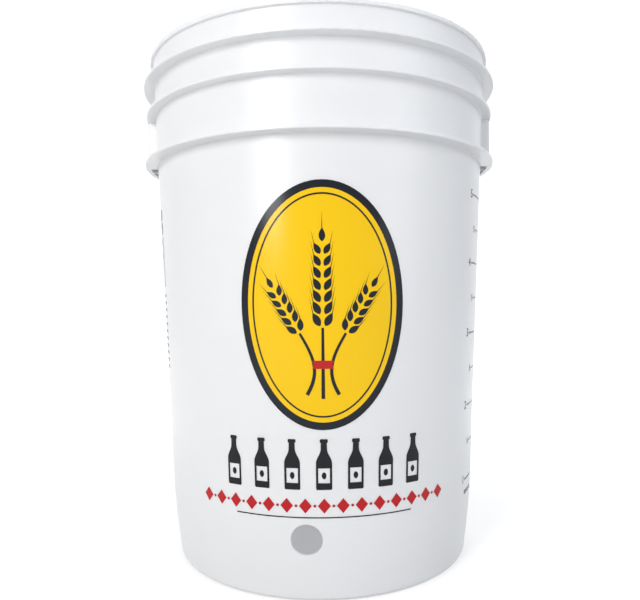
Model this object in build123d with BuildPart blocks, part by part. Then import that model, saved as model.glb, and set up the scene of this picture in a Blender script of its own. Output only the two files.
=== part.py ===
from build123d import *
from math import acos, asin, atan, cos, hypot, pi, radians, sin, sqrt, tan
import os

os.makedirs("parts", exist_ok=True)

# A moulded plastic bottling bucket with a drilled spigot hole and a wire bail.
# Millimetres, +Z up. The origin is the centre of the base, where the pail stands.
# The front, with the spigot hole, looks along -Y. The bail ears are on the X axis.

# Pail wall
pail_height = 441.0
base_radius = 135.5  # outside of the straight taper, carried down to the base
taper = 0.0416  # radius gained in each millimetre of height
wall = 2.3
heel_height = 68.0  # below this the wall curves in towards the base
heel_arc_radius = 580.0
corner_radius = 5.0
inner_corner_radius = 3.5

# Bottom
floor_thickness = 2.8
foot_width = 13.5  # of the ring that the pail stands on, in from the foot of the wall
foot_height = 3.0
foot_slope = 2.0
foot_edge = 0.8
rib_count = 12
rib_width = 1.8
rib_depth = 1.6
rib_hub_radius = 22.0
rib_gap = 6.0  # from a rib's end to the foot ring

# Rings round the neck, each placed by the drop from the rim down to its underside
low_ring_drop = 94.8
middle_ring_drop = 52.7
top_ring_drop = 26.7
low_ring_lip = 2.4  # beyond the ear's face
middle_ring_lip = 1.2  # beyond the ear's face
top_ring_reach = 9.07  # beyond the wall
ring_thickness = 2.8
ring_edge = 0.8
ring_root = 1.0

# Rim bead that the lid presses over
rim_reach = 2.15  # beyond the wall
rim_depth = 4.7
rim_top_edge = 1.8
rim_bottom_edge = 0.6

# Bail ears: hollow blocks between the low and the middle ring, open underneath
ear_width = 66.0
ear_skin = 2.3
ear_corner = 2.0
ear_rib = 2.0
ear_cell = 26.0  # width of the middle cell, where the bail's hook turns
ear_axis_drop = 12.3  # from the middle ring's underside to the wire's holes

# Spigot hole, drilled square to the wall at the front
spigot_hole_diameter = 24.0
spigot_hole_height = 48.3
spigot_hole_azimuth = -5.0  # degrees from the front, negative to the left

# Bail wire
wire_diameter = 3.8
wire_clearance = 0.35  # between the wire and the side of its hole
hook_gap = 0.6  # from the hook to the wall, and from the hook to the ear's skin
hook_bend_radius = 2.6
hook_length = 9.0
leg_bend_radius = 3.2
leg_gap = 0.2  # from the ear's face to the start of the leg's bend
ring_pass_gap = 0.3  # from the legs to the top ring as the bail swings by
bail_flat = 100.0  # straight top of the bail, which the grip turns on
wire_end_edge = 0.5

# Grip, a moulded tube cored from both ends, that turns on the wire
grip_length = 92.0
grip_diameter = 24.4
grip_collar_step = 0.6
grip_collar_length = 4.0
grip_bore_clearance = 0.3
grip_hub_wall = 2.0
grip_shell = 2.4
grip_spoke = 2.0
grip_spoke_count = 4
grip_web = 6.0  # left solid at the middle, between the two cored ends
grip_flute_count = 16
grip_flute_radius = 1.2
grip_end_edge = 0.6
grip_rest_gap = 0.4  # from the grip to the back wall when the bail hangs
grip_pass_gap = 0.35  # from the grip to the rim as the bail swings over it

# The taper line, and the heel arc that meets it at heel_height
taper_angle = atan(taper)
heel_centre_radius = base_radius + taper * heel_height - heel_arc_radius * cos(taper_angle)
heel_centre_height = heel_height + heel_arc_radius * sin(taper_angle)


def wall_radius(height):
    """Outer radius of the pail's wall at a height."""
    if height >= heel_height:
        return base_radius + taper * height
    rise = heel_centre_height - height
    return heel_centre_radius + sqrt(heel_arc_radius**2 - rise**2)


def wall_lean(height):
    """Angle between the wall and the vertical at a height, in radians."""
    if height >= heel_height:
        return taper_angle
    return asin((heel_centre_height - height) / heel_arc_radius)


def section_point(height, inset=0.0):
    """A point of the pail's section, inset from the outside of its wall."""
    return (wall_radius(height) - inset, height)


def corner(sketch, point):
    """The corner of a sketch that lies nearest to a point."""
    return sketch.vertices().sort_by_distance(point)[0]


foot_radius = wall_radius(0) - foot_width
floor_height = foot_height + floor_thickness

low_ring_height = pail_height - low_ring_drop
middle_ring_height = pail_height - middle_ring_drop
top_ring_height = pail_height - top_ring_drop
ear_axis_height = middle_ring_height - ear_axis_drop
ear_cell_depth = wire_diameter + 2 * hook_gap
ear_radius = wall_radius(ear_axis_height) + ear_cell_depth + ear_skin
rim_radius = wall_radius(pail_height) + rim_reach
top_ring_radius = wall_radius(top_ring_height) + top_ring_reach
rings = [
    (low_ring_height, ear_radius + low_ring_lip),
    (middle_ring_height, ear_radius + middle_ring_lip),
    (top_ring_height, top_ring_radius),
]

# Pail: one section of wall, floor, rings and rim, turned about Z
with BuildPart() as pail:
    with BuildSketch(Plane.XZ) as section:
        with BuildLine():
            Polyline(
                (0, pail_height),
                (0, foot_height),
                (foot_radius - foot_slope, foot_height),
                (foot_radius, 0),
                section_point(0),
            )
            ThreePointArc(
                section_point(0), section_point(heel_height / 2), section_point(heel_height)
            )
            Polyline(section_point(heel_height), section_point(pail_height), (0, pail_height))
        make_face()
        for height, radius in rings:
            ring_reach = radius - wall_radius(height) + wall / 2
            with Locations((radius, height)):
                Rectangle(ring_reach, ring_thickness, align=(Align.MAX, Align.MIN))
        with Locations((rim_radius, pail_height)):
            Rectangle(rim_reach + wall / 2, rim_depth, align=Align.MAX)
        with BuildLine():
            Polyline(
                (0, pail_height),
                (0, floor_height),
                (foot_radius - foot_slope, floor_height),
                (foot_radius, floor_thickness),
                section_point(floor_thickness, wall),
            )
            ThreePointArc(
                section_point(floor_thickness, wall),
                section_point(heel_height / 2, wall),
                section_point(heel_height, wall),
            )
            Polyline(
                section_point(heel_height, wall),
                section_point(pail_height, wall),
                (0, pail_height),
            )
        make_face(mode=Mode.SUBTRACT)

        fillet(corner(section, section_point(0)), corner_radius)
        fillet(corner(section, section_point(floor_thickness, wall)), inner_corner_radius)
        foot_corners = [
            (foot_radius, 0),
            (foot_radius - foot_slope, foot_height),
            (foot_radius - foot_slope, floor_height),
            (foot_radius, floor_thickness),
        ]
        fillet([corner(section, point) for point in foot_corners], foot_edge)
        for height, radius in rings:
            edges = [(radius, height), (radius, height + ring_thickness)]
            fillet([corner(section, point) for point in edges], ring_edge)
            roots = [section_point(height), section_point(height + ring_thickness)]
            fillet([corner(section, point) for point in roots], ring_root)
        fillet(corner(section, (rim_radius, pail_height - rim_depth)), rim_bottom_edge)
        rim_top = [(rim_radius, pail_height), section_point(pail_height, wall)]
        fillet([corner(section, point) for point in rim_top], rim_top_edge)
    revolve(axis=Axis.Z)

# Ear blocks: curved fronts and flat sides, from half-way into the wall out to the ear's face
ear_height = middle_ring_height - low_ring_height
with BuildPart() as ears:
    with BuildSketch(Plane.XY.offset(low_ring_height)) as ear_outline:
        Circle(ear_radius)
        Rectangle(2 * ear_radius, ear_width, mode=Mode.INTERSECT)
        fillet(ear_outline.vertices(), ear_corner)
    extrude(amount=ear_height + ring_thickness / 2)
    with Locations((0, 0, low_ring_height)):
        Cone(
            bottom_radius=wall_radius(low_ring_height) - wall / 2,
            top_radius=wall_radius(low_ring_height + ear_height + ring_thickness / 2) - wall / 2,
            height=ear_height + ring_thickness / 2,
            align=(Align.CENTER, Align.CENTER, Align.MIN),
            mode=Mode.SUBTRACT,
        )

# Hollows of the ears: a middle cell for the bail's hook and one each side, between ribs
side_cell = (ear_width - ear_cell) / 2 - ear_rib - ear_skin
side_cell_place = (ear_cell + side_cell) / 2 + ear_rib
core_start = low_ring_height - 2 * ring_root
core_depth = middle_ring_height - core_start
with BuildPart() as ear_cores:
    with BuildSketch(Plane.XY.offset(core_start)):
        Rectangle(2 * ear_radius, ear_cell)
        with Locations((0, side_cell_place), (0, -side_cell_place)):
            Rectangle(2 * ear_radius, side_cell)
        Circle(ear_radius - ear_skin, mode=Mode.INTERSECT)
    extrude(amount=core_depth)
    with Locations((0, 0, core_start)):
        Cone(
            bottom_radius=wall_radius(core_start),
            top_radius=wall_radius(middle_ring_height),
            height=core_depth,
            align=(Align.CENTER, Align.CENTER, Align.MIN),
            mode=Mode.SUBTRACT,
        )

wire_hole_radius = wire_diameter / 2 + wire_clearance
rib_length = foot_radius - foot_slope - rib_gap - rib_hub_radius
spigot_turn = radians(spigot_hole_azimuth)
spigot_lean = wall_lean(spigot_hole_height)
spigot_reach = wall_radius(spigot_hole_height)
spigot_plane = Plane(
    origin=(spigot_reach * sin(spigot_turn), -spigot_reach * cos(spigot_turn), spigot_hole_height),
    z_dir=(
        sin(spigot_turn) * cos(spigot_lean),
        -cos(spigot_turn) * cos(spigot_lean),
        -sin(spigot_lean),
    ),
)
with pail:
    add(ears.part)
    add(ear_cores.part, mode=Mode.SUBTRACT)
    for side in (1, -1):
        with BuildSketch(Plane.YZ.offset(side * (ear_radius + wall))):
            with Locations((0, ear_axis_height)):
                Circle(wire_hole_radius)
        extrude(amount=-side * (2 * wall + ear_skin), mode=Mode.SUBTRACT)
    with Locations(spigot_plane):
        Hole(spigot_hole_diameter / 2, depth=4 * wall)
    # Stiffening ribs under the floor, from a round hub out to the foot ring
    with BuildSketch(Plane.XY.offset(foot_height - rib_depth)):
        Circle(rib_hub_radius)
        Circle(rib_hub_radius - rib_width, mode=Mode.SUBTRACT)
        with PolarLocations(rib_hub_radius + rib_length / 2 - rib_width / 2, rib_count):
            Rectangle(rib_length, rib_width)
    extrude(amount=rib_depth + floor_thickness / 2)
pail.part.label = "pail"
export_step(pail.part, "parts/pail.step")

# The bail is as long as its grip needs to swing over the rounded rim. It hangs behind the pail
# until the grip rests on the back wall, at an angle below the level that the wall's slope sets.
grip_collar_radius = grip_diameter / 2 + grip_collar_step
rim_edge_reach = hypot(
    rim_radius - rim_top_edge, pail_height - rim_top_edge - ear_axis_height
) + rim_top_edge
bail_length = rim_edge_reach + grip_pass_gap + grip_collar_radius
wall_reach = wall_radius(ear_axis_height) * cos(taper_angle) + grip_rest_gap + grip_collar_radius
hang_angle = taper_angle + acos(wall_reach / bail_length)
bail_plane = Plane(
    origin=(0, 0, ear_axis_height),
    x_dir=(1, 0, 0),
    z_dir=(0, sin(hang_angle), cos(hang_angle)),
)

# Bail wire: drawn in its own plane, ear axis at y = 0 and grip at y = bail_length. Its legs
# splay out enough to pass the top ring.
leg_x = ear_radius + leg_gap + leg_bend_radius
pass_x = top_ring_radius + ring_pass_gap + wire_diameter / 2
bail_splay = atan((pass_x - leg_x) / (top_ring_height - ear_axis_height))
top_corner_x = leg_x + bail_length * tan(bail_splay)
bail_arc_radius = (top_corner_x - bail_flat / 2) * tan((pi / 2 - bail_splay) / 2)
hook_x = ear_radius - ear_skin - hook_gap - wire_diameter / 2
half_route = [
    (top_corner_x, bail_length),
    (leg_x, 0),
    (hook_x, 0),
    (hook_x, -hook_length),
]
half_bends = [bail_arc_radius, leg_bend_radius, hook_bend_radius]
with BuildPart() as bail_wire:
    with BuildLine(bail_plane) as route:
        FilletPolyline(
            [(-x, y) for x, y in reversed(half_route)] + half_route,
            radius=half_bends[::-1] + half_bends,
        )
    with BuildSketch(Plane(origin=route.line @ 0, z_dir=route.line % 0)):
        Circle(wire_diameter / 2)
    sweep()
    wire_ends = bail_wire.faces().filter_by(GeomType.PLANE)
    chamfer(wire_ends.edges(), wire_end_edge)
bail_wire.part.label = "bail_wire"
export_step(bail_wire.part, "parts/bail_wire.step")

# Grip: turned about the wire, with flutes along it and cells cored in from both ends
grip_centre = bail_plane.from_local_coords((0, bail_length, 0))
grip_axis = Axis(grip_centre, (1, 0, 0))
grip_bore_radius = wire_diameter / 2 + grip_bore_clearance
grip_hub_radius = grip_bore_radius + grip_hub_wall
grip_core_depth = (grip_length - grip_web) / 2
flute_length = grip_length - 2 * grip_collar_length
grip_ends = [
    Plane(origin=grip_centre + Vector(side * grip_length / 2, 0, 0), z_dir=(side, 0, 0))
    for side in (1, -1)
]
with BuildPart() as bail_grip:
    grip_plane = Plane(origin=grip_centre, x_dir=(1, 0, 0), z_dir=bail_plane.z_dir)
    with BuildSketch(grip_plane):
        with BuildLine():
            Polyline(
                (-grip_length / 2, grip_bore_radius),
                (grip_length / 2, grip_bore_radius),
                (grip_length / 2, grip_collar_radius - grip_end_edge),
                (grip_length / 2 - grip_end_edge, grip_collar_radius),
                (flute_length / 2, grip_collar_radius),
                (flute_length / 2, grip_diameter / 2),
                (-flute_length / 2, grip_diameter / 2),
                (-flute_length / 2, grip_collar_radius),
                (-grip_length / 2 + grip_end_edge, grip_collar_radius),
                (-grip_length / 2, grip_collar_radius - grip_end_edge),
                close=True,
            )
        make_face()
    revolve(axis=grip_axis)
    for end in grip_ends:
        with BuildSketch(end):
            Circle(grip_diameter / 2 - grip_shell)
            Circle(grip_hub_radius, mode=Mode.SUBTRACT)
            with PolarLocations(0, grip_spoke_count // 2, angular_range=180):
                Rectangle(grip_diameter, grip_spoke, mode=Mode.SUBTRACT)
        extrude(amount=-grip_core_depth, mode=Mode.SUBTRACT)
    with BuildSketch(grip_ends[0].offset(-grip_collar_length)):
        with PolarLocations(grip_diameter / 2, grip_flute_count):
            Circle(grip_flute_radius)
    extrude(amount=-flute_length, mode=Mode.SUBTRACT)
bail_grip.part.label = "bail_grip"
export_step(bail_grip.part, "parts/bail_grip.step")
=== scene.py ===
from math import atan, cos, pi, radians, sin, sqrt

import bmesh
import bpy
from mathutils import Matrix, Vector


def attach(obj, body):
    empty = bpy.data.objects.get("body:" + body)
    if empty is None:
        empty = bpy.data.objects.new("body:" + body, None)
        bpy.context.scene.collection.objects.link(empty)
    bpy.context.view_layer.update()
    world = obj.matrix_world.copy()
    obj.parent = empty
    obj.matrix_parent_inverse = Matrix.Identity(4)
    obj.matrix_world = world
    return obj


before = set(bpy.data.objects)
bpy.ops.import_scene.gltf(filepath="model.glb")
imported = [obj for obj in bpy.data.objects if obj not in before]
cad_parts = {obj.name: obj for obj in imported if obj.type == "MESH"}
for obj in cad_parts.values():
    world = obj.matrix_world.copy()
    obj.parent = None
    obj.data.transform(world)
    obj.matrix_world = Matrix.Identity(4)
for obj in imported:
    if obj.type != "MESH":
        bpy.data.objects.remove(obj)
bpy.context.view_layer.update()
scene = bpy.context.scene
scene.view_settings.view_transform = "Standard"

# ---- Camera ----
# It stands close in front of the pail, at half its height, and looks level along +Y. Its tilt,
# roll and pan, in radians, are the small ones of the photograph.
photo_width = 640
focal_pixels = 606.65
camera_distance = 0.5844
camera_height = 0.22555
camera_tilt = 0.0003
camera_roll = 0.0097
camera_pan = 0.0008
camera_data = bpy.data.cameras.new("camera")
camera_data.sensor_width = 36.0
camera_data.lens = camera_data.sensor_width * focal_pixels / photo_width
camera_data.clip_start = 0.01
camera = bpy.data.objects.new("camera", camera_data)
camera.location = (0.0, -camera_distance, camera_height)
camera.rotation_euler = (pi / 2 + camera_tilt, camera_roll, camera_pan)
scene.collection.objects.link(camera)
scene.camera = camera

# ---- Floor and backdrop ----
# One pale sweep: a floor that runs far behind the pail and rises in a wide curve, so that the
# pail stands on white paper with no edge in sight. To the camera and in reflections the paper
# also glows, and less near the pail, so that its soft shadow stays.
sweep_half_width = 6.0
sweep_front = -4.0
sweep_back = 3.0
sweep_bend = 1.5
sweep_height = 4.5
bend_steps = 16
paper_albedo = 0.58
near_glow = 0.54
near_reach = 0.22
far_reach = 0.75
sweep_line = [(sweep_front, 0.0)]
for step in range(bend_steps + 1):
    bend_angle = pi / 2 * step / bend_steps
    sweep_line.append(
        (sweep_back + sweep_bend * sin(bend_angle), sweep_bend * (1 - cos(bend_angle)))
    )
sweep_line.append((sweep_back + sweep_bend, sweep_height))
sweep_points = []
for along, up in sweep_line:
    sweep_points += [(-sweep_half_width, along, up), (sweep_half_width, along, up)]
sweep_faces = [(2 * i, 2 * i + 1, 2 * i + 3, 2 * i + 2) for i in range(len(sweep_line) - 1)]
sweep_mesh = bpy.data.meshes.new("paper_sweep")
sweep_mesh.from_pydata(sweep_points, [], sweep_faces)
sweep_mesh.shade_smooth()


def seen_or_mirrored(nodes, links):
    """1 for rays that come from the camera, a reflection or clear glass, and otherwise 0."""
    path = nodes.new("ShaderNodeLightPath")
    seen = nodes.new("ShaderNodeMath")
    seen.operation = "MAXIMUM"
    links.new(path.outputs["Is Camera Ray"], seen.inputs[0])
    links.new(path.outputs["Is Glossy Ray"], seen.inputs[1])
    through = nodes.new("ShaderNodeMath")
    through.operation = "MAXIMUM"
    links.new(seen.outputs[0], through.inputs[0])
    links.new(path.outputs["Is Transmission Ray"], through.inputs[1])
    return through.outputs[0]


paper = bpy.data.materials.new("white paper")
paper.use_nodes = True
nodes = paper.node_tree.nodes
links = paper.node_tree.links
nodes.clear()
paper_out = nodes.new("ShaderNodeOutputMaterial")
paper_matte = nodes.new("ShaderNodeBsdfDiffuse")
paper_matte.inputs["Color"].default_value = (paper_albedo, paper_albedo, paper_albedo, 1)
paper_glow = nodes.new("ShaderNodeEmission")
paper_glow.inputs["Color"].default_value = (1, 1, 1, 1)
paper_place = nodes.new("ShaderNodeTexCoord")
reach = nodes.new("ShaderNodeVectorMath")
reach.operation = "LENGTH"
links.new(paper_place.outputs["Object"], reach.inputs[0])
glow_rise = nodes.new("ShaderNodeMapRange")
glow_rise.interpolation_type = "SMOOTHSTEP"
glow_rise.inputs["From Min"].default_value = near_reach
glow_rise.inputs["From Max"].default_value = far_reach
glow_rise.inputs["To Min"].default_value = near_glow
links.new(reach.outputs["Value"], glow_rise.inputs["Value"])
glow_strength = nodes.new("ShaderNodeMath")
glow_strength.operation = "MULTIPLY"
links.new(glow_rise.outputs["Result"], glow_strength.inputs[0])
links.new(seen_or_mirrored(nodes, links), glow_strength.inputs[1])
links.new(glow_strength.outputs[0], paper_glow.inputs["Strength"])
paper_sum = nodes.new("ShaderNodeAddShader")
links.new(paper_matte.outputs[0], paper_sum.inputs[0])
links.new(paper_glow.outputs[0], paper_sum.inputs[1])
links.new(paper_sum.outputs[0], paper_out.inputs["Surface"])
sweep_mesh.materials.append(paper)
sweep = bpy.data.objects.new("paper_sweep", sweep_mesh)
scene.collection.objects.link(sweep)

# ---- Light ----
# A tall soft box stands at the left, in front, and a weaker, cooler one at the right. Two more
# hang behind the pail and above it. The room is a pale, even grey, and white where the camera or
# a reflection shows it.
world = bpy.data.worlds.new("studio")
world.use_nodes = True
scene.world = world
nodes = world.node_tree.nodes
links = world.node_tree.links
nodes.clear()
world_out = nodes.new("ShaderNodeOutputWorld")
room_light = nodes.new("ShaderNodeBackground")
room_light.inputs["Color"].default_value = (0.94, 0.96, 1.0, 1)
room_light.inputs["Strength"].default_value = 0.54
room_seen = nodes.new("ShaderNodeBackground")
room_seen.inputs["Color"].default_value = (1, 1, 1, 1)
room_seen.inputs["Strength"].default_value = 1.0
room_mix = nodes.new("ShaderNodeMixShader")
links.new(seen_or_mirrored(nodes, links), room_mix.inputs["Fac"])
links.new(room_light.outputs[0], room_mix.inputs[1])
links.new(room_seen.outputs[0], room_mix.inputs[2])
links.new(room_mix.outputs[0], world_out.inputs["Surface"])


def soft_box(name, place, aim, width, height, power, colour):
    """A rectangular lamp at a place, turned towards a point."""
    lamp_data = bpy.data.lights.new(name, "AREA")
    lamp_data.shape = "RECTANGLE"
    lamp_data.size = width
    lamp_data.size_y = height
    lamp_data.energy = power
    lamp_data.color = colour
    lamp = bpy.data.objects.new(name, lamp_data)
    lamp.location = place
    lamp.rotation_euler = (Vector(aim) - Vector(place)).to_track_quat("-Z", "Y").to_euler()
    scene.collection.objects.link(lamp)


soft_box(
    "left_box",
    place=(-0.80, -1.42, 0.74),
    aim=(0, 0, 0.30),
    width=0.34,
    height=0.86,
    power=12.6,
    colour=(1.0, 0.985, 0.96),
)
soft_box(
    "right_box",
    place=(1.45, -1.10, 0.75),
    aim=(0, 0, 0.25),
    width=0.9,
    height=1.1,
    power=5.4,
    colour=(0.88, 0.93, 1.0),
)
soft_box(
    "back_box",
    place=(0.0, 1.9, 1.0),
    aim=(0, 0, 0.25),
    width=1.0,
    height=1.0,
    power=8.0,
    colour=(1, 1, 1),
)
soft_box(
    "top_box",
    place=(0.0, 0.1, 1.9),
    aim=(0, 0, 0.2),
    width=1.2,
    height=1.2,
    power=9.0,
    colour=(1, 1, 1),
)

# ---- Pail ----
# One injection moulding in white high-density polyethylene: wall, bottom, neck rings, ears and
# rim. The surface has a faint orange peel, a satin gloss, and light scuffs that run round it.


def add_group_socket(tree, name, in_out, kind, value=None):
    """A named socket on a node group, with a start value if it has one."""
    socket = tree.interface.new_socket(name=name, in_out=in_out, socket_type=kind)
    if value is not None:
        socket.default_value = value


def math_node(nodes, links, operation, first, second, clamp=False):
    """A Math node. Each side is a number or an output socket."""
    node = nodes.new("ShaderNodeMath")
    node.operation = operation
    node.use_clamp = clamp
    for socket, value in zip(node.inputs, (first, second)):
        if isinstance(value, (int, float)):
            socket.default_value = value
        else:
            links.new(value, socket)
    return node.outputs[0]


# A moulded plastic surface: colour with a faint drift, gloss with duller patches, thin scuffs,
# and the height of its orange peel.
scuff_darkening = 0.04
scuff_dulling = 0.35
patch_dulling = 0.10
moulded = bpy.data.node_groups.new("moulded surface", "ShaderNodeTree")
add_group_socket(moulded, "Colour", "INPUT", "NodeSocketColor", (0.8, 0.8, 0.8, 1))
add_group_socket(moulded, "Drift", "INPUT", "NodeSocketFloat", 0.03)
add_group_socket(moulded, "Gloss roughness", "INPUT", "NodeSocketFloat", 0.3)
add_group_socket(moulded, "Peel scale", "INPUT", "NodeSocketFloat", 300.0)
add_group_socket(moulded, "Scuffs", "INPUT", "NodeSocketFloat", 0.2)
add_group_socket(moulded, "Colour", "OUTPUT", "NodeSocketColor")
add_group_socket(moulded, "Roughness", "OUTPUT", "NodeSocketFloat")
add_group_socket(moulded, "Height", "OUTPUT", "NodeSocketFloat")
nodes = moulded.nodes
links = moulded.links
group_in = nodes.new("NodeGroupInput")
group_out = nodes.new("NodeGroupOutput")
place = nodes.new("ShaderNodeTexCoord")
drift_noise = nodes.new("ShaderNodeTexNoise")
drift_noise.inputs["Scale"].default_value = 8.0
drift_noise.inputs["Detail"].default_value = 1.0
links.new(place.outputs["Object"], drift_noise.inputs["Vector"])
peel_noise = nodes.new("ShaderNodeTexNoise")
peel_noise.inputs["Detail"].default_value = 2.0
links.new(place.outputs["Object"], peel_noise.inputs["Vector"])
links.new(group_in.outputs["Peel scale"], peel_noise.inputs["Scale"])
stretch = nodes.new("ShaderNodeMapping")
stretch.inputs["Scale"].default_value = (12.0, 12.0, 60.0)
links.new(place.outputs["Object"], stretch.inputs["Vector"])
scuff_noise = nodes.new("ShaderNodeTexNoise")
scuff_noise.inputs["Scale"].default_value = 1.6
scuff_noise.inputs["Detail"].default_value = 2.0
scuff_noise.inputs["Roughness"].default_value = 0.5
links.new(stretch.outputs[0], scuff_noise.inputs["Vector"])
scuff_edge = nodes.new("ShaderNodeMapRange")
scuff_edge.inputs["From Min"].default_value = 0.45
scuff_edge.inputs["From Max"].default_value = 0.90
links.new(scuff_noise.outputs["Fac"], scuff_edge.inputs["Value"])
scuff = math_node(
    nodes, links, "MULTIPLY", scuff_edge.outputs["Result"], group_in.outputs["Scuffs"]
)
centred = math_node(nodes, links, "SUBTRACT", drift_noise.outputs["Fac"], 0.5)
drifted = math_node(nodes, links, "MULTIPLY", centred, group_in.outputs["Drift"])
lightness = math_node(nodes, links, "ADD", drifted, 1.0)
darkened = math_node(nodes, links, "MULTIPLY", scuff, scuff_darkening)
lightness = math_node(nodes, links, "SUBTRACT", lightness, darkened)
tint = nodes.new("ShaderNodeVectorMath")
tint.operation = "SCALE"
links.new(group_in.outputs["Colour"], tint.inputs[0])
links.new(lightness, tint.inputs["Scale"])
links.new(tint.outputs["Vector"], group_out.inputs["Colour"])
dull_patch = math_node(nodes, links, "MULTIPLY", centred, patch_dulling)
dull_scuff = math_node(nodes, links, "MULTIPLY", scuff, scuff_dulling)
rough = math_node(nodes, links, "ADD", group_in.outputs["Gloss roughness"], dull_patch)
rough = math_node(nodes, links, "ADD", rough, dull_scuff, clamp=True)
links.new(rough, group_out.inputs["Roughness"])
links.new(peel_noise.outputs["Fac"], group_out.inputs["Height"])


def moulded_material(name, colour, drift, roughness, peel_scale, scuffs, peel_height, specular):
    """A plastic or ink finish built on the moulded surface."""
    material = bpy.data.materials.new(name)
    material.use_nodes = True
    nodes = material.node_tree.nodes
    links = material.node_tree.links
    shader = nodes["Principled BSDF"]
    shader.inputs["Specular IOR Level"].default_value = specular
    surface = nodes.new("ShaderNodeGroup")
    surface.node_tree = moulded
    surface.inputs["Colour"].default_value = (*colour, 1)
    surface.inputs["Drift"].default_value = drift
    surface.inputs["Gloss roughness"].default_value = roughness
    surface.inputs["Peel scale"].default_value = peel_scale
    surface.inputs["Scuffs"].default_value = scuffs
    bump = nodes.new("ShaderNodeBump")
    bump.inputs["Strength"].default_value = 0.5
    bump.inputs["Distance"].default_value = peel_height
    links.new(surface.outputs["Colour"], shader.inputs["Base Color"])
    links.new(surface.outputs["Roughness"], shader.inputs["Roughness"])
    links.new(surface.outputs["Height"], bump.inputs["Height"])
    links.new(bump.outputs["Normal"], shader.inputs["Normal"])
    return material


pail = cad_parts["pail"]
pail_plastic = moulded_material(
    "white polyethylene",
    (0.86, 0.865, 0.875),
    drift=0.035,
    roughness=0.30,
    peel_scale=260.0,
    scuffs=0.20,
    peel_height=0.00006,
    specular=0.5,
)
pail_shader = pail_plastic.node_tree.nodes["Principled BSDF"]
pail_shader.inputs["Subsurface Weight"].default_value = 0.35
pail_shader.inputs["Subsurface Radius"].default_value = (1.0, 0.97, 0.93)
pail_shader.inputs["Subsurface Scale"].default_value = 0.005
pail.data.materials.clear()
pail.data.materials.append(pail_plastic)

# ---- Printed emblem ----
# Screen-printed ink on the front of the wall: a tall yellow oval with a dark navy border, and
# on it three ears of barley in navy, held by a red tie. The ink lies on the plastic as a film.

# The wall's sizes, the ink's thickness and all heights on the wall are in metres. The face of a
# film lies ink_lift off the wall, and ink_layer more for each film under it.
wall_foot_radius = 0.1355
wall_taper = 0.0416
heel_top = 0.068
heel_arc = 0.580
ink_film = 0.00006
ink_lift = 0.00010
ink_layer = 0.00009

# Flat art is in millimetres. It is cut into strips of this size, which follow the round wall.
strip_width = 3.0
strip_height = 15.0
merge_distance = 0.001
crease_angle = radians(30)


def wall_radius(height):
    """Outer radius of the pail's wall at a height."""
    if height >= heel_top:
        return wall_foot_radius + wall_taper * height
    slope = atan(wall_taper)
    centre_height = heel_top + heel_arc * sin(slope)
    centre_radius = wall_foot_radius + wall_taper * heel_top - heel_arc * cos(slope)
    return centre_radius + sqrt(heel_arc**2 - (centre_height - height) ** 2)


def filled(outlines):
    """A flat mesh inside closed outlines, in millimetres. An outline in another is a hole."""
    curve = bpy.data.curves.new("outline", "CURVE")
    curve.dimensions = "2D"
    curve.fill_mode = "BOTH"
    for outline in outlines:
        spline = curve.splines.new("POLY")
        spline.points.add(len(outline) - 1)
        for point, (x, y) in zip(spline.points, outline):
            point.co = (x, y, 0, 1)
        spline.use_cyclic_u = True
    return meshed(curve)


def meshed(curve):
    """The flat mesh of a curve or text, whose own object is then removed."""
    holder = bpy.data.objects.new("outline", curve)
    scene.collection.objects.link(holder)
    bpy.context.view_layer.update()
    depsgraph = bpy.context.evaluated_depsgraph_get()
    mesh = bpy.data.meshes.new_from_object(holder.evaluated_get(depsgraph))
    bpy.data.objects.remove(holder)
    return mesh


def moved(mesh, x, y, turn=0.0):
    """A flat mesh turned about its origin and then moved, in millimetres."""
    mesh.transform(Matrix.Translation((x, y, 0)) @ Matrix.Rotation(turn, 4, "Z"))
    return mesh


def print_on_wall(name, art, azimuth, height, layer, ink):
    """Wraps flat art round the pail's wall as a thin film of ink that moves with the pail."""
    bm = bmesh.new()
    for mesh in art:
        bm.from_mesh(mesh)
        bpy.data.meshes.remove(mesh)
    bmesh.ops.remove_doubles(bm, verts=bm.verts, dist=merge_distance)
    for axis, step in ((0, strip_width), (1, strip_height)):
        low = min(v.co[axis] for v in bm.verts)
        high = max(v.co[axis] for v in bm.verts)
        cut = low + step
        while cut < high:
            along = Vector((0, 0, 0))
            along[axis] = 1
            bmesh.ops.bisect_plane(
                bm,
                geom=bm.verts[:] + bm.edges[:] + bm.faces[:],
                plane_co=along * cut,
                plane_no=along,
            )
            cut += step
    for v in bm.verts:
        z = height + v.co.y / 1000
        turn = azimuth + v.co.x / 1000 / wall_radius(height)
        reach = wall_radius(z) + ink_lift + layer * ink_layer
        v.co = (reach * sin(turn), -reach * cos(turn), z)
    bmesh.ops.triangulate(bm, faces=bm.faces[:])
    film = bpy.data.meshes.new(name)
    bm.to_mesh(film)
    bm.free()
    piece = bpy.data.objects.new(name, film)
    scene.collection.objects.link(piece)
    thick = piece.modifiers.new("film", "SOLIDIFY")
    thick.thickness = ink_film
    thick.offset = -1
    depsgraph = bpy.context.evaluated_depsgraph_get()
    piece.data = bpy.data.meshes.new_from_object(piece.evaluated_get(depsgraph))
    piece.modifiers.clear()
    piece.data.name = name
    piece.data.shade_smooth()
    piece.data.set_sharp_from_angle(angle=crease_angle)
    piece.data.materials.clear()
    piece.data.materials.append(ink)
    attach(piece, "pail")


def ink_material(name, colour):
    """Gloss screen ink, slightly uneven."""
    return moulded_material(
        name,
        colour,
        drift=0.06,
        roughness=0.2,
        peel_scale=420.0,
        scuffs=0.05,
        peel_height=0.00002,
        specular=0.25,
    )


def oval(half_width, half_height, count=96):
    """An oval outline about the origin."""
    return [
        (half_width * cos(2 * pi * i / count), half_height * sin(2 * pi * i / count))
        for i in range(count)
    ]


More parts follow.
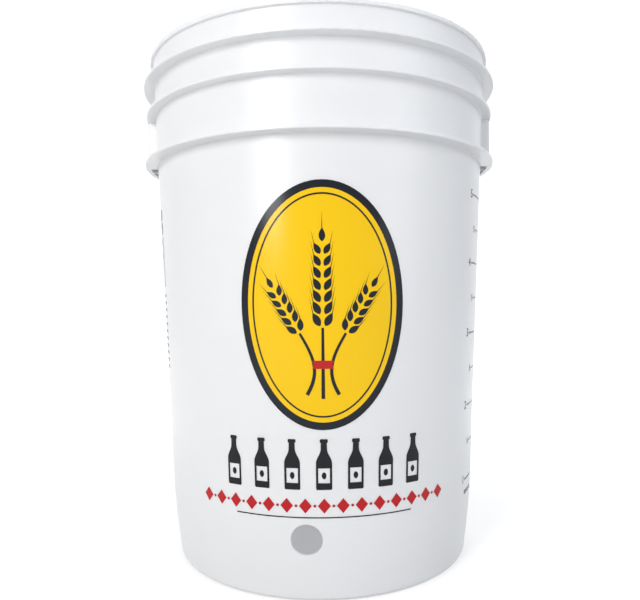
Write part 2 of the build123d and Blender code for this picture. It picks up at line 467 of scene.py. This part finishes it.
yellow_ink = ink_material("yellow ink", (0.97, 0.60, 0.002))
navy_ink = ink_material("navy ink", (0.004, 0.007, 0.014))
red_ink = ink_material("red ink", (0.52, 0.010, 0.014))

emblem_height = 0.2215
emblem_azimuth = 0.010
emblem_half_width = 62.0
emblem_half_height = 91.0
emblem_border = 5.6
inner_line_gap = 3.6
inner_line = 1.3


def framed_oval(inset, width=None):
    """The emblem's oval at an inset from its edge, as a disc or as a line of a width."""
    outlines = [oval(emblem_half_width - inset, emblem_half_height - inset)]
    if width is not None:
        outlines.append(oval(emblem_half_width - inset - width, emblem_half_height - inset - width))
    return filled(outlines)


def stem_point(stem, t):
    """A point on a stem's cubic curve and its direction, for t from 0 to 1."""
    a, b, c, d = (Vector(p) for p in stem)
    s = 1 - t
    point = a * s**3 + b * (3 * s * s * t) + c * (3 * s * t * t) + d * t**3
    ahead = (b - a) * (s * s) + (c - b) * (2 * s * t) + (d - c) * (t * t)
    return point, ahead.normalized()


def stalk(stem, start_width, end_width, steps=18):
    """The outline of a stem that narrows towards its ear."""
    left, right = [], []
    for i in range(steps + 1):
        point, ahead = stem_point(stem, i / steps)
        half = (start_width + (end_width - start_width) * i / steps) / 2
        side = Vector((-ahead.y, ahead.x)) * half
        left.append(tuple(point + side))
        right.append(tuple(point - side))
    return left + right[::-1]


# Sizes of a full-size ear. Its grains lean out in pairs, and one more stands on top.
grain_length = 11.0
grain_width = 5.8
grain_roundness = 0.75
grain_foot_fullness = 1.18
grain_tip_loss = 0.45
grain_lean = radians(29)
grain_offset = 1.9
grain_pitch = 8.9
grain_shrink = 0.03
top_grain_length = 10.0
top_grain_width = 5.0
top_grain_gap = 0.2
whisker_length = 13.0
whisker_half_width = 0.32
whisker_bend = radians(17)


def grain_and_whisker(length, width, whisker, bend, side, steps=9):
    """A grain that stands on the origin, with a whisker from its tip that bends to one side."""
    edge = []
    for i in range(steps):
        t = i / steps
        fullness = grain_foot_fullness - grain_tip_loss * t
        edge.append((width / 2 * sin(pi * t) ** grain_roundness * fullness, length * t))
    tip = (side * -whisker * sin(bend), length + whisker * cos(bend))
    outline = edge + [(whisker_half_width, length), tip, (-whisker_half_width, length)]
    return outline + [(-x, y) for x, y in edge[-1:0:-1]]


# A row of copies of one flat shape, each a step from the last and a little smaller.
row_tree = bpy.data.node_groups.new("printed row", "GeometryNodeTree")
add_group_socket(row_tree, "Shape", "INPUT", "NodeSocketGeometry")
add_group_socket(row_tree, "Count", "INPUT", "NodeSocketInt", 3)
add_group_socket(row_tree, "Start", "INPUT", "NodeSocketVector")
add_group_socket(row_tree, "Step", "INPUT", "NodeSocketVector")
add_group_socket(row_tree, "Shrink", "INPUT", "NodeSocketFloat", 0.0)
add_group_socket(row_tree, "Ink", "INPUT", "NodeSocketMaterial")
add_group_socket(row_tree, "Row", "OUTPUT", "NodeSocketGeometry")
nodes = row_tree.nodes
links = row_tree.links
row_in = nodes.new("NodeGroupInput")
row_out = nodes.new("NodeGroupOutput")
row_points = nodes.new("GeometryNodeMeshLine")
row_index = nodes.new("GeometryNodeInputIndex")
row_loss = nodes.new("ShaderNodeMath")
row_loss.operation = "MULTIPLY"
row_size = nodes.new("ShaderNodeMath")
row_size.operation = "SUBTRACT"
row_size.inputs[0].default_value = 1.0
row_copies = nodes.new("GeometryNodeInstanceOnPoints")
row_real = nodes.new("GeometryNodeRealizeInstances")
row_ink = nodes.new("GeometryNodeSetMaterial")
links.new(row_in.outputs["Count"], row_points.inputs["Count"])
links.new(row_in.outputs["Start"], row_points.inputs["Start Location"])
links.new(row_in.outputs["Step"], row_points.inputs["Offset"])
links.new(row_index.outputs[0], row_loss.inputs[0])
links.new(row_in.outputs["Shrink"], row_loss.inputs[1])
links.new(row_loss.outputs[0], row_size.inputs[1])
links.new(row_points.outputs["Mesh"], row_copies.inputs["Points"])
links.new(row_in.outputs["Shape"], row_copies.inputs["Instance"])
links.new(row_size.outputs[0], row_copies.inputs["Scale"])
links.new(row_copies.outputs["Instances"], row_real.inputs["Geometry"])
links.new(row_real.outputs["Geometry"], row_ink.inputs["Geometry"])
links.new(row_in.outputs["Ink"], row_ink.inputs["Material"])
links.new(row_ink.outputs["Geometry"], row_out.inputs["Row"])


def printed_row(shape, count, step, ink, centred=True, shrink=0.0):
    """The flat mesh of a row, made by the node tree from the mesh of one shape."""
    holder = bpy.data.objects.new("row", shape)
    scene.collection.objects.link(holder)
    row = holder.modifiers.new("row", "NODES")
    row.node_group = row_tree
    back = (count - 1) / 2 if centred else 0
    values = {
        "Count": count,
        "Start": (-step[0] * back, -step[1] * back, 0.0),
        "Step": (step[0], step[1], 0.0),
        "Shrink": shrink,
        "Ink": ink,
    }
    for item in row_tree.interface.items_tree:
        if item.in_out == "INPUT" and item.name in values:
            row[item.identifier] = values[item.name]
    bpy.context.view_layer.update()
    depsgraph = bpy.context.evaluated_depsgraph_get()
    mesh = bpy.data.meshes.new_from_object(holder.evaluated_get(depsgraph))
    bpy.data.objects.remove(holder)
    return mesh


def joined(meshes):
    """One flat mesh of several."""
    bm = bmesh.new()
    for mesh in meshes:
        bm.from_mesh(mesh)
        bpy.data.meshes.remove(mesh)
    whole = bpy.data.meshes.new("art")
    bm.to_mesh(whole)
    bm.free()
    return whole


def barley_ear(base, ahead, pairs, size, ink):
    """The flat mesh of one ear, which runs on from the end of its stem."""
    upright = Vector((0, 1)).angle_signed(ahead)
    pair = []
    for side in (1, -1):
        outline = grain_and_whisker(
            grain_length * size, grain_width * size, whisker_length * size, whisker_bend, side
        )
        pair.append(moved(filled([outline]), side * grain_offset * size, 0, -side * grain_lean))
    pair_step = (0.0, grain_pitch * size)
    row = printed_row(joined(pair), pairs, pair_step, ink, centred=False, shrink=grain_shrink)
    top_outline = grain_and_whisker(
        top_grain_length * size, top_grain_width * size, whisker_length * size, 0.0, 1
    )
    top = moved(filled([top_outline]), 0, (grain_pitch * pairs + top_grain_gap) * size)
    return moved(joined([row, top]), base.x, base.y, -upright)


print_on_wall(
    "emblem_border", [framed_oval(0.0)], emblem_azimuth, emblem_height, 0, navy_ink
)
print_on_wall(
    "emblem_field", [framed_oval(emblem_border)], emblem_azimuth, emblem_height, 1, yellow_ink
)

stems = [
    ((0.0, -68.0), (0.0, -48.0), (0.0, -30.0), (0.0, -16.0)),
    ((12.0, -65.0), (1.5, -48.0), (7.0, -37.0), (17.0, -20.0)),
    ((-12.0, -65.0), (-1.5, -48.0), (-7.0, -37.0), (-17.0, -20.0)),
]
stalk_foot_width = 2.8
stalk_top_width = 1.9
ear_sizes = [(7, 0.98), (5, 0.84), (5, 0.84)]  # pairs of grains, and the share of full size
ear_gap = 1.2
barley = [framed_oval(emblem_border + inner_line_gap, inner_line)]
for stem, (pairs, size) in zip(stems, ear_sizes):
    barley.append(filled([stalk(stem, stalk_foot_width, stalk_top_width)]))
    base, ahead = stem_point(stem, 1.0)
    barley.append(barley_ear(base + ahead * ear_gap, ahead, pairs, size, navy_ink))
print_on_wall("emblem_barley", barley, emblem_azimuth, emblem_height, 2, navy_ink)

# The tie round the stalks, a narrow red band with a notch in each end.
tie_half_width = 8.0
tie_half_height = 3.0
tie_notch = 1.2
tie_drop = 43.0
tie_outline = [
    (-tie_half_width, -tie_half_height),
    (tie_half_width, -tie_half_height),
    (tie_half_width - tie_notch, 0),
    (tie_half_width, tie_half_height),
    (-tie_half_width, tie_half_height),
    (-tie_half_width + tie_notch, 0),
]
tie = moved(filled([tie_outline]), 0, -tie_drop)
print_on_wall("emblem_tie", [tie], emblem_azimuth, emblem_height, 3, red_ink)

# ---- Printed bottles ----
# Under the emblem, a row of plain bottles, screen-printed in black ink. Each has a label left
# clear in the ink, with a small spot on it.
black_ink = ink_material("black ink", (0.005, 0.006, 0.009))
bottle_count = 7
bottle_pitch = 23.5
bottle_half = 5.9
bottle_heel_width = 0.6
bottle_heel_height = 0.8
bottle_neck = 2.3
shoulder_foot = 19.5
shoulder_rise = 11.0
shoulder_steps = 10
neck_top = 34.8
neck_top_half = 2.2
lip_foot = 35.2
lip_top = 37.0
lip_half = 2.9
bottle_height = 37.6
mouth_half = 2.5
label_half = 4.3
label_foot = 5.0
label_top = 16.0
spot_half_width = 1.7
spot_half_height = 2.6
spot_points = 24
bottle_row_foot = 0.0862


def box_outline(x0, y0, x1, y1):
    """A rectangle's outline."""
    return [(x0, y0), (x1, y0), (x1, y1), (x0, y1)]


bottle_side = [(bottle_half - bottle_heel_width, 0.0), (bottle_half, bottle_heel_height)]
for step in range(shoulder_steps + 1):
    t = step / shoulder_steps
    narrowing = (bottle_half - bottle_neck) * (1 - cos(pi * t)) / 2
    bottle_side.append((bottle_half - narrowing, shoulder_foot + shoulder_rise * t))
bottle_side += [
    (neck_top_half, neck_top),
    (lip_half, lip_foot),
    (lip_half, lip_top),
    (mouth_half, bottle_height),
]
bottle_outline = bottle_side + [(-x, y) for x, y in bottle_side[::-1]]
bottle_label = box_outline(-label_half, label_foot, label_half, label_top)
spot_outline = oval(spot_half_width, spot_half_height, spot_points)
bottle_spot = moved(filled([spot_outline]), 0, (label_foot + label_top) / 2)
bottle = joined([filled([bottle_outline, bottle_label]), bottle_spot])
bottles = printed_row(bottle, bottle_count, (bottle_pitch, 0.0), black_ink)
print_on_wall("printed_bottles", [bottles], emblem_azimuth, bottle_row_foot, 0, black_ink)

# ---- Printed border ----
# Below the bottles, a border of lozenges with dots between them, screen-printed in red ink,
# and under it a thin rule in black ink.
lozenge_count = 15
lozenge_pitch = 14.0
lozenge_half_width = 4.8
lozenge_half_height = 5.6
dot_radius = 1.1
dot_points = 16
border_height = 0.0742
lozenge_outline = [
    (-lozenge_half_width, 0),
    (0, -lozenge_half_height),
    (lozenge_half_width, 0),
    (0, lozenge_half_height),
]
lozenge = filled([lozenge_outline])
dot = filled([oval(dot_radius, dot_radius, dot_points)])
border_step = (lozenge_pitch, 0.0)
border = [
    printed_row(lozenge, lozenge_count, border_step, red_ink),
    printed_row(dot, lozenge_count - 1, border_step, red_ink),
]
print_on_wall("printed_border", border, emblem_azimuth, border_height, 0, red_ink)

rule_half_length = 69.0
rule_thickness = 0.9
rule_height = 0.0650
rule = filled([box_outline(-rule_half_length, 0, rule_half_length, rule_thickness)])
print_on_wall("printed_rule", [rule], emblem_azimuth, rule_height, 0, black_ink)

# ---- Printed volume scale ----
# At the right, ticks screen-printed in black ink mark each gallon at the height that holds it in
# this taper, and each half midway between. Plain numbers stand left of the ticks, and a bar
# under the scale.
scale_azimuth = radians(61.0)
gallon_heights = [0.0718, 0.1355, 0.1969, 0.2561, 0.3134]
tick_length = 24.0
half_tick_length = 13.0
tick_thickness = 1.4
number_size = 10.0
half_number_size = 8.0
number_gap = 1.6
bar_height = 3.4
bar_drop = 13.0


def figure(text, size, right, up):
    """The flat mesh of a plain number that ends at a place on its right."""
    letters = bpy.data.curves.new("figure", "FONT")
    letters.body = text
    letters.size = size
    letters.align_x = "RIGHT"
    letters.align_y = "CENTER"
    return moved(meshed(letters), right, up)


def tick_mark(length, across, up):
    """A tick of a length, from a place across the scale, at a height above the scale's foot."""
    half = tick_thickness / 2
    return filled([box_outline(across, up - half, across + length, up + half)])


scale_foot = gallon_heights[0]
scale_art = []
for number, tick_height in enumerate(gallon_heights):
    up = (tick_height - scale_foot) * 1000
    scale_art.append(tick_mark(tick_length, 0, up))
    if number:
        halfway = (tick_height + gallon_heights[number - 1]) / 2
        half_up = (halfway - scale_foot) * 1000
        half_start = tick_length - half_tick_length
        scale_art.append(tick_mark(half_tick_length, half_start, half_up))
        scale_art.append(figure("\u00bd", half_number_size, half_start - number_gap, half_up))
    scale_art.append(figure(str(number + 1), number_size, -number_gap, up))
scale_art.append(moved(filled([box_outline(0, 0, tick_length, bar_height)]), 0, -bar_drop))
print_on_wall("volume_scale", scale_art, scale_azimuth, scale_foot, 0, black_ink)

# ---- Printed chart panel ----
# At the left, screen-printed in dark ink: two solid bars, under them a framed chart with two
# sloping lines, and at the bottom a stack of thin strokes, as a plain form to fill in.
panel_azimuth = radians(-68.5)
panel_foot = 0.168
panel_width = 66.0
panel_ink = ink_material("brown-black ink", (0.018, 0.010, 0.009))
panel = []

# The bars, each from its lower edge to its upper edge.
for low, high in ((117.0, 126.5), (129.0, 138.0)):
    panel.append(filled([box_outline(-panel_width, low, 0, high)]))

# The chart's frame, and its sloping lines, each from its top end to its low end.
chart_foot = 71.0
chart_top = 113.5
chart_line = 0.7
slope_width = 1.2
slope_gap = 2.0
frame_outside = box_outline(-panel_width, chart_foot, 0, chart_top)
frame_inside = box_outline(
    -panel_width + chart_line, chart_foot + chart_line, -chart_line, chart_top - chart_line
)
panel.append(filled([frame_outside, frame_inside]))
for start, end in ((-4.0, -14.0), (-10.0, -50.0)):
    slope_outline = [
        (start, chart_top - slope_gap),
        (start - slope_width, chart_top - slope_gap),
        (end - slope_width, chart_foot + slope_gap),
        (end, chart_foot + slope_gap),
    ]
    panel.append(filled([slope_outline]))

# The strokes, each with a small block at its right.
stroke_count = 11
stroke_pitch = 6.2
stroke_end = -8.0
stroke_thickness = 1.5
block_start = -5.5
block_foot = -0.6
block_top = 2.1
stroke_outline = box_outline(-panel_width, 0, stroke_end, stroke_thickness)
block_outline = box_outline(block_start, block_foot, 0, block_top)
stroke = filled([stroke_outline, block_outline])
strokes = printed_row(stroke, stroke_count, (0.0, stroke_pitch), panel_ink, centred=False)
panel.append(strokes)
print_on_wall("chart_panel", panel, panel_azimuth, panel_foot, 0, panel_ink)

# ---- Bail wire ----
# Zinc-plated steel wire, drawn, bent cold and sprung into the two ears. Its ends hook inside
# the ears' middle cells.
bail_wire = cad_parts["bail_wire"]
zinc_roughness = 0.24
zinc_dulling = 0.15
zinc = bpy.data.materials.new("zinc-plated wire")
zinc.use_nodes = True
nodes = zinc.node_tree.nodes
links = zinc.node_tree.links
zinc_shader = nodes["Principled BSDF"]
zinc_shader.inputs["Metallic"].default_value = 1.0
zinc_place = nodes.new("ShaderNodeTexCoord")
zinc_cloud = nodes.new("ShaderNodeTexNoise")
zinc_cloud.inputs["Scale"].default_value = 90.0
zinc_cloud.inputs["Detail"].default_value = 5.0
links.new(zinc_place.outputs["Object"], zinc_cloud.inputs["Vector"])
zinc_colours = nodes.new("ShaderNodeValToRGB")
zinc_colours.color_ramp.elements[0].position = 0.35
zinc_colours.color_ramp.elements[0].color = (0.52, 0.53, 0.55, 1)
zinc_colours.color_ramp.elements[1].position = 0.65
zinc_colours.color_ramp.elements[1].color = (0.60, 0.61, 0.63, 1)
links.new(zinc_cloud.outputs["Fac"], zinc_colours.inputs["Fac"])
links.new(zinc_colours.outputs["Color"], zinc_shader.inputs["Base Color"])
zinc_dull = math_node(nodes, links, "MULTIPLY", zinc_cloud.outputs["Fac"], zinc_dulling)
zinc_rough = math_node(nodes, links, "ADD", zinc_dull, zinc_roughness)
links.new(zinc_rough, zinc_shader.inputs["Roughness"])
zinc_grain = nodes.new("ShaderNodeTexNoise")
zinc_grain.inputs["Scale"].default_value = 1500.0
links.new(zinc_place.outputs["Object"], zinc_grain.inputs["Vector"])
zinc_bump = nodes.new("ShaderNodeBump")
zinc_bump.inputs["Strength"].default_value = 0.2
zinc_bump.inputs["Distance"].default_value = 0.00002
links.new(zinc_grain.outputs["Fac"], zinc_bump.inputs["Height"])
links.new(zinc_bump.outputs["Normal"], zinc_shader.inputs["Normal"])
bail_wire.data.materials.clear()
bail_wire.data.materials.append(zinc)

# ---- Grip ----
# A fluted tube of white polyethylene, moulded with open cells in its ends, that turns freely on
# the straight top of the wire.
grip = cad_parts["bail_grip"]
grip_plastic = moulded_material(
    "white grip polyethylene",
    (0.84, 0.84, 0.84),
    drift=0.05,
    roughness=0.42,
    peel_scale=500.0,
    scuffs=0.5,
    peel_height=0.00008,
    specular=0.5,
)
grip.data.materials.clear()
grip.data.materials.append(grip_plastic)

bpy.context.view_layer.update()
